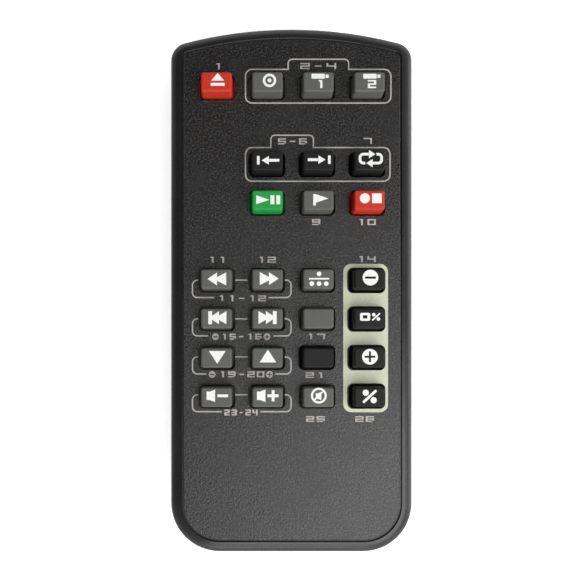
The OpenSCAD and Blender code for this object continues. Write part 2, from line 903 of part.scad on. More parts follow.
module key_body() {
  x = key_length / 2 - key_taper - key_corner;
  y = key_width / 2 - key_taper - key_corner;
  for (s = [0, 1], t = [0, 1])
    mirror([s, 0, 0]) mirror([0, t, 0]) {
      rotate([90, 0, 90])
        linear_extrude(x) key_half(key_width / 2);
      translate([0, y, 0])
        rotate([90, 0, 0])
          linear_extrude(y) key_half(key_length / 2);
      translate([x, y, 0])
        rotate_extrude(angle = 90) key_half(key_corner + key_taper);
    }
}

module key(c, r, colour) {
  color(colour)
  translate([col_x(c), row_y(r), 0]) {
    key_body();
    translate([0, 0, key_base])
      linear_extrude(skirt_top - key_base) rounded(skirt_length, skirt_width, opening_corner);
    translate([0, 0, key_base - pill_height])
      cylinder(d = pill_diameter, h = pill_height + 0.2, $fn = 48);
  }
}

top_cover();
face_panel();
rear_case();
battery_door();
ir_window();
ir_led();
keypad_mat();
circuit_board();
controller_chip();
resonator();
smoothing_capacitor();
driver_transistor();
resistors();
battery_left();
battery_right();
link_contact();
link_spring();
positive_contact();
negative_contact();
negative_spring();
case_screws();
board_screws();
key(0, 0, key_red);  // key_eject
key(1, 0, key_grey);  // key_source_disc
key(2, 0, key_grey);  // key_source_usb_1
key(3, 0, key_grey);  // key_source_usb_2
key(1, 2, key_black);  // key_cue_in
key(2, 2, key_black);  // key_cue_out
key(3, 2, key_black);  // key_reloop
key(1, 3, key_green);  // key_play_pause
key(2, 3, key_grey);  // key_marker
key(3, 3, key_red);  // key_record_stop
key(0, 5, key_grey);  // key_rewind
key(1, 5, key_grey);  // key_fast_forward
key(2, 5, key_grey);  // key_single_continue
key(3, 5, key_black);  // key_pitch_minus
key(0, 6, key_grey);  // key_track_back
key(1, 6, key_grey);  // key_track_next
key(2, 6, key_grey);  // key_repeat
key(3, 6, key_black);  // key_pitch_zero
key(0, 7, key_grey);  // key_folder_down
key(1, 7, key_grey);  // key_folder_up
key(2, 7, key_black);  // key_lock
key(3, 7, key_black);  // key_pitch_plus
key(0, 8, key_grey);  // key_volume_down
key(1, 8, key_grey);  // key_volume_up
key(2, 8, key_grey);  // key_mute
key(3, 8, key_black);  // key_pitch_range
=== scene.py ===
import math

import bmesh
import bpy
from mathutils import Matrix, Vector
from mathutils.geometry import tessellate_polygon


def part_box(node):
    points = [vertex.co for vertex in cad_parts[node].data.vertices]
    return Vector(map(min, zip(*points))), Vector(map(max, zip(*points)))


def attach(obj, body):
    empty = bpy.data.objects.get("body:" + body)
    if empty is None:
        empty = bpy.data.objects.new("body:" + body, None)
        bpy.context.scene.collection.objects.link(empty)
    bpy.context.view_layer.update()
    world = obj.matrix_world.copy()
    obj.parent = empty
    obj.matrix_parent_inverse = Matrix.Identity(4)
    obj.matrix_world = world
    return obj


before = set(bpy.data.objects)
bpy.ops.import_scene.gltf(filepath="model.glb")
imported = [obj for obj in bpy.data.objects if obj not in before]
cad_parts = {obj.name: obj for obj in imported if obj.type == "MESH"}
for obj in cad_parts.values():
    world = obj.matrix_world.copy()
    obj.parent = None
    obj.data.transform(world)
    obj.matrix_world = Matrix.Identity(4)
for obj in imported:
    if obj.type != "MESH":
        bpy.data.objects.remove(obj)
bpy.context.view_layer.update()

# A hand-held remote control. The CAD nodes keep their shapes and get materials; the
# legends on the panel and the signs on the keys are added here, as thin printed solids.
MM = 0.001


# ---- Camera: straight above the keys, the frame shifted onto the remote ----
PHOTO = 580                     # pixels of the photograph's side
FOCAL = 657.5                   # focal length in those pixels
CAMERA_OVER = (245.0, 345.0)    # pixel that lies straight below the lens
PANEL_SCALE = 4.38              # pixels for a millimetre on the panel
CENTRE = (291.9, 289.9)         # pixel of the frame's origin on the panel
SENSOR = 36                     # width of the sensor, in millimetres

panel_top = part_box("face_panel")[1].z
camera_data = bpy.data.cameras.new("camera")
camera_data.sensor_width = SENSOR
camera_data.lens = SENSOR * FOCAL / PHOTO
camera_data.shift_x = (PHOTO / 2 - CAMERA_OVER[0]) / PHOTO
camera_data.shift_y = (CAMERA_OVER[1] - PHOTO / 2) / PHOTO
camera_data.clip_start = 0.01
camera = bpy.data.objects.new("camera", camera_data)
camera.location = (
    (CAMERA_OVER[0] - CENTRE[0]) / PANEL_SCALE * MM,
    (CENTRE[1] - CAMERA_OVER[1]) / PANEL_SCALE * MM,
    panel_top + FOCAL / PANEL_SCALE * MM,
)
bpy.context.scene.collection.objects.link(camera)
bpy.context.scene.camera = camera
bpy.context.scene.view_settings.view_transform = "Standard"


# ---- Nodes of the materials ----
NOISE_LOW, NOISE_HIGH = 0.35, 0.65      # most of a noise lies between these
MIX_A, MIX_B, MIX_RESULT = 6, 7, 2      # the sockets of a Mix node that mixes colours


def new_material(name, colour, roughness, **sockets):
    """A Principled material; sockets are named with underscores for spaces."""
    made = bpy.data.materials.new(name)
    made.use_nodes = True
    shader = made.node_tree.nodes["Principled BSDF"]
    shader.inputs["Base Color"].default_value = (*colour, 1)
    shader.inputs["Roughness"].default_value = roughness
    for socket, value in sockets.items():
        shader.inputs[socket.replace("_", " ")].default_value = value
    return made


def add_node(tree, kind, **values):
    """Adds a node and sets its inputs by name, or its properties."""
    made = tree.nodes.new(kind)
    for key, value in values.items():
        if key in made.inputs:
            made.inputs[key].default_value = value
        else:
            setattr(made, key, value)
    return made


def object_noise(tree, size, detail=2.0, roughness=0.5):
    """Noise whose features are about size metres across."""
    place = add_node(tree, "ShaderNodeTexCoord")
    made = add_node(tree, "ShaderNodeTexNoise", Scale=1 / size, Detail=detail, Roughness=roughness)
    tree.links.new(place.outputs["Object"], made.inputs["Vector"])
    return made.outputs["Fac"]


def ramp(tree, source, stops, interpolation="LINEAR"):
    """Colour ramp over a value: stops are (position, colour), two or more, in order."""
    made = add_node(tree, "ShaderNodeValToRGB")
    made.color_ramp.interpolation = interpolation
    elements = made.color_ramp.elements
    for i, (position, colour) in enumerate(stops):
        element = elements[i] if i < 2 else elements.new(position)
        element.position, element.color = position, (*colour, 1)
    tree.links.new(source, made.inputs["Fac"])
    return made.outputs["Color"]


def map_range(tree, source, low, high, from_low=NOISE_LOW, from_high=NOISE_HIGH):
    """Spreads a value over low to high."""
    made = add_node(tree, "ShaderNodeMapRange", **{
        "From Min": from_low, "From Max": from_high, "To Min": low, "To Max": high})
    tree.links.new(source, made.inputs["Value"])
    return made.outputs["Result"]


def math_node(tree, operation, *values):
    """The result of a Math node over two values, each a socket or a float."""
    made = add_node(tree, "ShaderNodeMath", operation=operation)
    for socket, value in zip(made.inputs, values):
        if isinstance(value, float):
            socket.default_value = value
        else:
            tree.links.new(value, socket)
    return made.outputs[0]


def add_bump(made, height, depth):
    """Relief of depth metres from a 0 to 1 height."""
    tree = made.node_tree
    bump = add_node(tree, "ShaderNodeBump", Strength=1.0, Distance=depth)
    tree.links.new(height, bump.inputs["Height"])
    tree.links.new(bump.outputs["Normal"], tree.nodes["Principled BSDF"].inputs["Normal"])


# ---- Kinds of material ----
CLOUD = 40      # the clouds in a gloss are so many times as broad as its grain


def grained(name, colour, spread, size, depth, roughness=(0.4, 0.5), **sockets):
    """A moulded or painted surface. Its grain is size metres across and depth metres deep
    and varies the colour by the share spread; clouds vary the roughness over its range."""
    made = new_material(name, colour, roughness[0], **sockets)
    tree = made.node_tree
    shader = tree.nodes["Principled BSDF"]
    fine = object_noise(tree, size, 3.0, 0.6)
    cloud = object_noise(tree, size * CLOUD)
    dark = tuple(c * (1 - spread) for c in colour)
    light = tuple(c * (1 + spread) for c in colour)
    tint = ramp(tree, fine, [(NOISE_LOW, dark), (NOISE_HIGH, light)])
    tree.links.new(tint, shader.inputs["Base Color"])
    tree.links.new(map_range(tree, cloud, *roughness), shader.inputs["Roughness"])
    add_bump(made, fine, depth)
    return made


def speckled_panel(name):
    """Dark sand-grained face with fine paler flecks."""
    made = grained(name, (0.012, 0.0114, 0.0116), 0.5, 0.00034, 0.0001, (0.22, 0.3), IOR=1.54)
    tree = made.node_tree
    tint = tree.nodes["Principled BSDF"].inputs["Base Color"]
    noise = object_noise(tree, 0.0004, 2.5)
    flecks = ramp(tree, noise, [(0.5, (0, 0, 0)), (0.7, (1, 1, 1))])
    mix = add_node(tree, "ShaderNodeMix", data_type="RGBA")
    mix.inputs[MIX_B].default_value = (0.066, 0.061, 0.057, 1)
    tree.links.new(flecks, mix.inputs["Factor"])
    tree.links.new(tint.links[0].from_socket, mix.inputs[MIX_A])
    tree.links.new(mix.outputs[MIX_RESULT], tint)
    return made


BARE, DARK, COPPER = (0.6, 0.6, 0.6), (0.03, 0.03, 0.032), (0.55, 0.25, 0.09)
CELL_BANDS = {
    # where each colour starts, as a share of the cell's length from the battery end
    "left": [(0.0, BARE), (0.03, DARK), (0.7, COPPER), (0.955, BARE)],
    "right": [(0.0, BARE), (0.045, COPPER), (0.3, DARK), (0.97, BARE)],
}


def cell_wrap(side):
    """Printed sleeve of a cell: a dark band beside a copper one, bare steel at the ends."""
    made = grained("cell_wrap_" + side, DARK, 0.2, 0.0004, 0.00001, (0.28, 0.36), Metallic=0.6)
    tree = made.node_tree
    low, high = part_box("battery_" + side)
    place = add_node(tree, "ShaderNodeTexCoord")
    split = add_node(tree, "ShaderNodeSeparateXYZ")
    tree.links.new(place.outputs["Object"], split.inputs["Vector"])
    along = map_range(tree, split.outputs["Y"], 0, 1, low.y, high.y)
    bands = ramp(tree, along, CELL_BANDS[side], "CONSTANT")
    tree.links.new(bands, tree.nodes["Principled BSDF"].inputs["Base Color"])
    return made


DRAWN = (9000, 400, 400)    # noise cells to a metre, across and along the drawn lines


def brushed(name, colour, roughness=0.3, spread=0.08):
    """Bright metal with fine drawn lines; roughness varies by spread."""
    made = new_material(name, colour, roughness, Metallic=1.0)
    tree = made.node_tree
    place = add_node(tree, "ShaderNodeTexCoord")
    stretch = add_node(tree, "ShaderNodeMapping", Scale=DRAWN)
    noise = add_node(tree, "ShaderNodeTexNoise", Scale=1.0, Detail=2.0)
    tree.links.new(place.outputs["Object"], stretch.inputs["Vector"])
    tree.links.new(stretch.outputs["Vector"], noise.inputs["Vector"])
    gloss = map_range(tree, noise.outputs["Fac"], roughness - spread, roughness + spread)
    tree.links.new(gloss, tree.nodes["Principled BSDF"].inputs["Roughness"])
    add_bump(made, noise.outputs["Fac"], 0.000004)
    return made


def board_material(name):
    """Green solder mask, paler along its tracks."""
    made = grained(name, (0.02, 0.12, 0.05), 0.15, 0.0006, 0.00001, (0.25, 0.32))
    tree = made.node_tree
    place = add_node(tree, "ShaderNodeTexCoord")
    tracks = add_node(tree, "ShaderNodeTexBrick", Scale=220.0, **{
        "Color1": (0.015, 0.1, 0.04, 1), "Color2": (0.02, 0.13, 0.05, 1),
        "Mortar": (0.05, 0.22, 0.1, 1), "Mortar Size": 0.03})
    tree.links.new(place.outputs["Object"], tracks.inputs["Vector"])
    tree.links.new(tracks.outputs["Color"], tree.nodes["Principled BSDF"].inputs["Base Color"])
    return made


def rubber(name, colour):
    """Silicone: matt, a little cloudy, with a faint skin."""
    return grained(name, colour, 0.06, 0.00035, 0.000008, (0.5, 0.6), Specular_IOR_Level=0.2)


def ink(name, colour):
    """Screen-printed ink, thin at some grains of the surface below."""
    return grained(name, colour, 0.07, 0.00025, 0.000004, (0.5, 0.6))


def component(name, colour, spread=0.2, size=0.0002, roughness=(0.4, 0.5)):
    """Epoxy, plastic or glaze of an electronic component."""
    return grained(name, colour, spread, size, 0.00001, roughness)


# ---- Materials ----
legend_ink = ink("legend_ink", (0.5, 0.47, 0.45))
strip_ink = ink("strip_ink", (0.665, 0.695, 0.53))
symbol_ink = ink("symbol_ink", (0.95, 0.95, 0.93))
case_plastic = grained(
    "case_plastic", (0.014, 0.014, 0.0145), 0.15, 0.00025, 0.000012, (0.24, 0.31), IOR=1.52)
window_plastic = new_material(
    "window_plastic", (0.05, 0.004, 0.006), 0.08, Transmission_Weight=0.6, IOR=1.49)
led_plastic = new_material("led_plastic", (0.5, 0.55, 0.7), 0.06, Transmission_Weight=0.8)
contact_steel = brushed("contact_steel", (0.72, 0.71, 0.68))
spring_wire = brushed("spring_wire", (0.8, 0.8, 0.8), 0.22)
red = rubber("rubber_red", (0.61, 0.04, 0.021))
green = rubber("rubber_green", (0.022, 0.35, 0.066))
grey = rubber("rubber_grey", (0.124, 0.127, 0.1175))
black = rubber("rubber_black", (0.013, 0.013, 0.013))
node_materials = {
    "top_cover": case_plastic, "rear_case": case_plastic, "battery_door": case_plastic,
    "face_panel": speckled_panel("panel_paint"),
    "ir_window": window_plastic, "ir_led": led_plastic,
    "key_eject": red, "key_record_stop": red, "key_play_pause": green, "key_lock": black,
    "key_cue_in": black, "key_cue_out": black, "key_reloop": black,
    "key_pitch_minus": black, "key_pitch_zero": black,
    "key_pitch_plus": black, "key_pitch_range": black,
    "keypad_mat": rubber("rubber_mat", (0.03, 0.03, 0.03)),
    "circuit_board": board_material("board_mask"),
    "controller_chip": component("chip_epoxy", (0.015, 0.015, 0.016), roughness=(0.5, 0.6)),
    "resonator": component("resonator_glaze", (0.55, 0.25, 0.05), 0.1, 0.0008, (0.2, 0.3)),
    "smoothing_capacitor": brushed("capacitor_can", (0.75, 0.75, 0.77), 0.25),
    "driver_transistor": component("transistor_epoxy", (0.02, 0.02, 0.02)),
    "resistors": component("resistor_glaze", (0.02, 0.02, 0.025), 0.2, 0.0003, (0.25, 0.35)),
    "battery_left": cell_wrap("left"), "battery_right": cell_wrap("right"),
    "link_contact": contact_steel, "positive_contact": contact_steel,
    "negative_contact": contact_steel,
    "link_spring": spring_wire, "negative_spring": spring_wire,
    "case_screws": brushed("black_steel", (0.12, 0.12, 0.125), 0.38),
    "board_screws": brushed("zinc_steel", (0.66, 0.66, 0.68), 0.3),
}
for node_name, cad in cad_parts.items():
    if node_name.startswith("key_"):
        node_materials.setdefault(node_name, grey)
    cad.data.materials.clear()
    cad.data.materials.append(node_materials[node_name])


# ---- Printing: closed solids a few hundredths of a millimetre thick, in millimetres ----
INK = 0.02          # thickness of a print
INK_STEP = 0.001    # shapes that cross end this much apart, so that they don't flicker
INK_CLEAR = 0.002   # the print's underside clears the surface by this much


def arc(x, y, radius, start, end, steps):
    """Points of an arc, from start to end degrees."""
    turn = [math.radians(start + (end - start) * i / steps) for i in range(steps + 1)]
    return [(x + radius * math.cos(a), y + radius * math.sin(a)) for a in turn]


class Strip:
    """The two sides of a ribbon, as lists of points."""

    def __init__(self, left, right, closed):
        self.left, self.right, self.closed = left, right, closed

    def moved(self, x, y):
        """A copy, x to the right and y up."""
        shift = [[(a + x, b + y) for a, b in side] for side in (self.left, self.right)]
        return Strip(*shift, self.closed)

    def faces(self):
        """Its points, its quads, and the edges of its outline as point numbers."""
        count = len(self.left)
        last = count if self.closed else count - 1
        pairs = [(i, (i + 1) % count) for i in range(last)]
        quads = [(count + i, count + j, j, i) for i, j in pairs]
        edges = [(j, i) for i, j in pairs] + [(count + i, count + j) for i, j in pairs]
        if not self.closed:
            edges += [(0, count), (2 * count - 1, count - 1)]
        return self.left + self.right, quads, edges


class Patch:
    """A filled outline with holes, as lists of points."""

    def __init__(self, outline, *holes):
        self.loops = [outline, *holes]

    def moved(self, x, y):
        """A copy, x to the right and y up."""
        return Patch(*[[(a + x, b + y) for a, b in loop] for loop in self.loops])

    def faces(self):
        """Its points, its triangles, and the edges of its outlines as point numbers."""
        points, edges = [], []
        for loop in self.loops:
            start = len(points)
            points += loop
            count = len(loop)
            edges += [(start + i, start + (i + 1) % count) for i in range(count)]
        flat = [[Vector((x, y, 0)) for x, y in loop] for loop in self.loops]
        return points, [tuple(t) for t in tessellate_polygon(flat)], edges


def disc(x, y, radius, steps=40):
    """A circle of that many points."""
    return arc(x, y, radius, 0, 360 * (steps - 1) / steps, steps - 1)


def bar(x, y, width, height):
    """A rectangle about its centre."""
    w, h = width / 2, height / 2
    return [(x - w, y - h), (x + w, y - h), (x + w, y + h), (x - w, y + h)]


def fillet(points, radius, closed=True, steps=5):
    """A path with rounded corners; radius is one number, or one for each point."""
    radii = [radius] * len(points) if isinstance(radius, (int, float)) else radius
    made = []
    for i, here in enumerate(points):
        if radii[i] == 0 or (not closed and i in (0, len(points) - 1)):
            made.append(here)
            continue
        corner = Vector(here)
        before = (Vector(points[i - 1]) - corner).normalized()
        after = (Vector(points[(i + 1) % len(points)]) - corner).normalized()
        half_angle = before.angle(after) / 2
        reach = radii[i] / math.tan(half_angle)
        centre = corner + (before + after).normalized() * radii[i] / math.sin(half_angle)
        start = corner + before * reach - centre
        finish = corner + after * reach - centre
        sweep = start.angle_signed(finish)
        for k in range(steps + 1):
            a = -sweep * k / steps
            turned = Vector((start.x * math.cos(a) - start.y * math.sin(a),
                             start.x * math.sin(a) + start.y * math.cos(a)))
            made.append(tuple(centre + turned))
    return made


def rounded_bar(x, y, width, height, radius):
    """A rectangle about its centre, with rounded corners."""
    return fillet(bar(x, y, width, height), radius)


MITRE = 0.3         # keeps a ribbon's sharp turns from reaching far out


def ribbon(points, width, closed=False):
    """A line of that width along a path, as a Strip."""
    left, right = [], []
    count = len(points)
    for i, here in enumerate(points):
        corner = Vector(here)
        into = out = None
        if closed or i > 0:
            into = (corner - Vector(points[i - 1])).normalized()
        if closed or i < count - 1:
            out = (Vector(points[(i + 1) % count]) - corner).normalized()
        into, out = into or out, out or into
        along = (into + out).normalized()
        normal = Vector((-along.y, along.x))
        reach = width / 2 / max(MITRE, normal.dot(Vector((-out.y, out.x))))
        left.append(tuple(corner + normal * reach))
        right.append(tuple(corner - normal * reach))
    return Strip(left, right, closed)


def printed(name, shapes, height, body, material):
    """One piece from Strips and Patches, on a surface at height metres, that moves with
    the body."""
    mesh = bmesh.new()
    bottom = height + INK_CLEAR * MM
    for order, shape in enumerate(shapes):
        points, faces, edges = shape.faces()
        top = height + (INK + INK_STEP * (order % 4)) * MM
        upper = [mesh.verts.new((x * MM, y * MM, top)) for x, y in points]
        lower = [mesh.verts.new((x * MM, y * MM, bottom)) for x, y in points]
        for face in faces:
            mesh.faces.new([upper[i] for i in face])
            mesh.faces.new([lower[i] for i in reversed(face)])
        for i, j in edges:
            mesh.faces.new((upper[i], lower[i], lower[j], upper[j]))
    bmesh.ops.recalc_face_normals(mesh, faces=mesh.faces)
    data = bpy.data.meshes.new(name)
    mesh.to_mesh(data)
    mesh.free()
    data.materials.append(material)
    piece = bpy.data.objects.new(name, data)
    bpy.context.scene.collection.objects.link(piece)
    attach(piece, body)
    return piece


# ---- Numerals: wide and square, level strokes thinner than upright ones ----
LEVEL = 0.27        # stroke of a level line
UPRIGHT = 0.4       # stroke of an upright line


def numeral(digit, x, y, width, height, level=LEVEL, upright=UPRIGHT):
    """Shapes of one digit or dash; (x, y) is its lower left corner."""
    right, top = x + width, y + height
    centre, mid = x + width / 2, y + height / 2

    def across(low, start=x, end=right):
        """A level stroke whose lower edge is at low."""
        return rounded_bar((start + end) / 2, low + level / 2, end - start, level, level * 0.3)

    def up(left, low=y, high=top):
        """An upright stroke whose left edge is at left."""
        return rounded_bar(left + upright / 2, (low + high) / 2, upright, high - low, level * 0.3)

    bottom_line, middle_line, top_line = across(y), across(mid - level / 2), across(top - level)
    far = right - upright
    return [Patch(stroke) for stroke in {
        "0": [bottom_line, top_line, up(x), up(far)],
        "1": [up(centre), across(top - level, x + width * 0.32, centre + upright)],
        "2": [bottom_line, middle_line, top_line, up(x, y, mid), up(far, mid, top)],
        "3": [bottom_line, middle_line, top_line, up(far)],
        "4": [middle_line, up(x, mid - level / 2, top), up(far)],
        "5": [bottom_line, middle_line, top_line, up(x, mid, top), up(far, y, mid)],
        "6": [bottom_line, middle_line, top_line, up(x), up(far, y, mid)],
        "7": [top_line, up(far)],
        "8": [bottom_line, middle_line, top_line, up(x), up(far)],
        "9": [bottom_line, middle_line, top_line, up(x, mid, top), up(far)],
        "-": [across(mid - level / 2, x + width * 0.15, right - width * 0.15)],
    }[digit]]


def label(text, left, right, low, high, widest=1.9, gap=0.5):
    """Numerals centred between left and right, as wide as they fit."""
    count = len(text)
    width = min(widest, (right - left - gap * (count - 1)) / count)
    start = (left + right - count * width - (count - 1) * gap) / 2
    shapes = []
    for i, digit in enumerate(text):
        shapes += numeral(digit, start + i * (width + gap), low, width, high - low)
    return shapes


# ---- Legends on the panel ----
LINE = 0.3                      # stroke of the frames and brackets
BOX_CORNER, TAB_CORNER, BRACKET_CORNER = 1.5, 0.9, 1.1      # corner radii
BRACKET_SIDES = (-22.7, -0.2)   # x of the brackets' upright lines
BRACKET_ENDS = (-21.36, -1.64)  # x where their upper lines end, beside the keys
DASH_ENDS = (-12.96, -10.09)    # x of the dash between the two keys


def tabbed_box(left, right, low, high, tab_left, tab_right, tab_high):
    """A rounded box whose upper side steps up round its label."""
    path = [
        (left, low), (right, low), (right, high), (tab_right, high), (tab_right, tab_high),
        (tab_left, tab_high), (tab_left, high), (left, high)]
    big, small = BOX_CORNER, TAB_CORNER
    return ribbon(fillet(path, [big, big, big, 0, small, small, 0, big]), LINE, True)


def bracket(top, low, word_left, word_right):
    """Brackets round two keys: the dash between them, and a lower line open at its label."""
    shapes = []
    for side, end, word in zip(BRACKET_SIDES, BRACKET_ENDS, (word_left, word_right)):
        path = [(end, top), (side, top), (side, low), (word, low)]
        shapes.append(ribbon(fillet(path, BRACKET_CORNER, False), LINE))
    return shapes + [ribbon([(x, top) for x in DASH_ENDS], LINE * 0.85)]


def cross(x, y, size, stroke):
    """Outline of a plus sign."""
    s, t = size / 2, stroke / 2
    return [(x + a, y + b) for a, b in (
        (-s, -t), (-t, -t), (-t, -s), (t, -s), (t, -t), (s, -t),
        (s, t), (t, t), (t, s), (-t, s), (-t, t), (-s, t))]


def small_sign(x, y, plus):
    """A small disc with a minus or plus left open in it."""
    opening = cross(x, y, 1.05, 0.24) if plus else bar(x, y, 1.05, 0.24)
    return Patch(disc(x, y, 0.78), opening)


FIRST_ROW = 46.0    # the places below are for a first key row at this y
PANEL_LEGENDS = {
    # label: text, left, right, low, high, and its widest numeral and gap
    "legend_eject": label("1", -21.17, -12.55, 50.2, 51.6),
    "legend_source": [tabbed_box(-10.6, 22.6, 42.5, 50.2, -0.85, 12.95, 52.5)]
    + label("2-4", 0.3, 11.7, 50.25, 51.65, 2.2, 0.8),
    "legend_loop": [tabbed_box(-10.6, 22.4, 24.65, 32.35, -4.8, 4.9, 35.15)]
    + label("5-6", -3.53, 3.8, 33.06, 34.46, 1.8, 0.6),
    "legend_reloop": label("7", 11.84, 22.81, 33.15, 34.55),
    "legend_marker": label("9", 1.48, 9.61, 14.66, 16.01),
    "legend_record": label("10", 13.4, 20.6, 14.66, 16.01),
    "legend_rewind": label("11", -20.77, -13.37, 6.02, 7.42),
    "legend_forward": label("12", -9.1, -2.5, 6.02, 7.42),
    "legend_pitch": label("14", 12.98, 20.99, 6.2, 7.55),
    "legend_search": bracket(2.08, -1.9, -17.76, -5.31)
    + label("11-12", -17.0, -5.9, -2.75, -1.4),
    "legend_track": bracket(-6.75, -10.65, -19.08, -4.17)
    + [small_sign(-17.45, -10.85, False), small_sign(-5.7, -10.85, True)]
    + label("15-16", -16.2, -6.95, -11.5, -10.15),
    "legend_folder": bracket(-15.45, -19.35, -19.54, -3.78)
    + [small_sign(-18.2, -19.45, False), small_sign(-5.1, -19.45, True)]
    + label("19-20", -16.73, -6.3, -20.1, -18.75),
    "legend_volume": bracket(-24.1, -27.95, -16.0, -7.2)
    + label("23-24", -15.4, -7.8, -28.8, -27.45, gap=0.4),
    "legend_repeat": label("17", 0.93, 9.88, -11.44, -10.14),
    "legend_lock": label("21", 0.87, 9.72, -20.25, -18.95),
    "legend_mute": label("25", 1.5, 9.24, -30.27, -28.97),
    "legend_range": label("26", 11.89, 21.31, -30.27, -28.97),
}
eject_low, eject_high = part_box("key_eject")
rows_up = (eject_low + eject_high).y / 2 / MM - FIRST_ROW
for name, shapes in PANEL_LEGENDS.items():
    placed = [shape.moved(0, rows_up) for shape in shapes]
    printed(name, placed, panel_top, "remote", legend_ink)

# The pale strip runs round the four pitch keys.
STRIP_X, STRIP_Y = 16.83, -11.14    # its centre, a place like those above
STRIP_SIZE = (10.22, 33.88, 1.83)   # width, height, corner radius
OPENING = (8.72, 5.84, 1.3)         # likewise, a little wider than the panel's openings
SHIFT = -0.12                       # how far the print lies off them
strip_holes = []
for node_name in ("key_pitch_minus", "key_pitch_zero", "key_pitch_plus", "key_pitch_range"):
    low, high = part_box(node_name)
    x, y = (low + high).xy / 2 / MM
    strip_holes.append(rounded_bar(x + SHIFT, y, *OPENING))
strip = Patch(rounded_bar(STRIP_X, rows_up + STRIP_Y, *STRIP_SIZE), *strip_holes)
printed("pitch_strip", [strip], panel_top, "remote", strip_ink)


# ---- Signs on the keys, about each key's centre ----
def triangle(x, y, width, height, turn=0):
    """An isosceles triangle about its centre, pointing right, turned by degrees."""
    c, s = math.cos(math.radians(turn)), math.sin(math.radians(turn))
    corners = ((-width / 2, -height / 2), (width / 2, 0), (-width / 2, height / 2))
    return [(x + a * c - b * s, y + a * s + b * c) for a, b in corners]


def chevrons(facing):
    """Two overlapping triangles as one outline; facing is 1 for right, -1 for left."""
    points = [(-2.1, -1.45), (-0.05, -0.4), (-0.05, -1.45), (2.1, 0),
              (-0.05, 1.45), (-0.05, 0.4), (-2.1, 1.45)]
    return [(facing * x, y) for x, y in points]


def skip_sign(facing):
    """Two overlapping triangles that end in a bar, as one outline."""
    points = [(-2.0, -1.45), (-0.35, -0.5), (-0.35, -1.45), (1.2, -0.42), (1.2, -1.45),
              (2.05, -1.45), (2.05, 1.45), (1.2, 1.45), (1.2, 0.42), (-0.35, 1.45),
              (-0.35, 0.5), (-2.0, 1.45)]
    return [(facing * x, y) for x, y in points]


def speaker(x, scale=1.0):
    """Outline of a loudspeaker that faces right."""
    points = [(-0.95, -0.95), (-0.2, -0.95), (0.95, -1.4), (0.95, 1.4), (-0.2, 0.95),
              (-0.95, 0.95)]
    return [(x + a * scale, b * scale) for a, b in points]


def capsule(start, end, width):
    """A straight stroke with round ends."""
    turn = math.degrees(math.atan2(end[1] - start[1], end[0] - start[0]))
    return (arc(*end, width / 2, turn - 90, turn + 90, 8)
            + arc(*start, width / 2, turn + 90, turn + 270, 8))


def percent(x, scale=1.0):
    """A slash between two dots."""
    reach, rise = 1.29 * scale, 1.19 * scale
    slash = Patch(capsule((x - reach, -rise), (x + reach, rise), 0.58 * scale))
    dot_x, dot_y, radius = 0.89 * scale, 0.83 * scale, 0.69 * scale
    return [slash, Patch(disc(x - dot_x, dot_y, radius)), Patch(disc(x + dot_x, -dot_y, radius))]


def usb_sign(digit):
    """A small stick above the plain number of its socket."""
    return [
        Patch(rounded_bar(-0.45, 1.0, 3.0, 1.1, 0.2)),
        Patch(bar(1.55, 1.0, 0.7, 0.72)),
    ] + numeral(digit, -0.95, -1.65, 1.9, 1.8, 0.34, 0.5)


def loop_sign():
    """Two arrows that chase each other round a flat loop."""
    hook = fillet([(-1.25, -1.0), (-2.4, -1.0), (-2.4, 1.0), (-0.4, 1.0)], 0.75, False)
    shapes = [ribbon(hook, 0.6), Patch(triangle(0.3, 1.0, 1.4, 1.85))]
    hook_back = [(-x, -y) for x, y in hook]
    return shapes + [ribbon(hook_back, 0.6), Patch(triangle(-0.3, -1.0, 1.4, 1.85, 180))]


def sequence_sign():
    """One dot over a line over three dots: single or continuous play."""
    places = ((0, 1.1), (-1.6, -1.1), (0, -1.1), (1.6, -1.1))
    return [Patch(bar(0, 0, 4.5, 0.36))] + [Patch(disc(x, y, 0.52)) for x, y in places]


def mute_sign():
    """A struck-out speaker in a ring."""
    return [
        Patch(disc(0, 0, 1.76, 56), disc(0, 0, 1.3, 48)),
        Patch([(x, y - 0.1) for x, y in speaker(-0.06, 0.66)]),
        ribbon([(-0.96, -0.96), (0.96, 0.96)], 0.34),
    ]


def zero_percent_sign():
    """A square nought before a small percent sign."""
    outer, inner = (2.28, 1.78, 0.36), (1.0, 0.74, 0.08)
    zero = Patch(rounded_bar(-1.18, 0, *outer), rounded_bar(-1.18, 0, *inner))
    return [zero] + percent(1.27, 0.58)


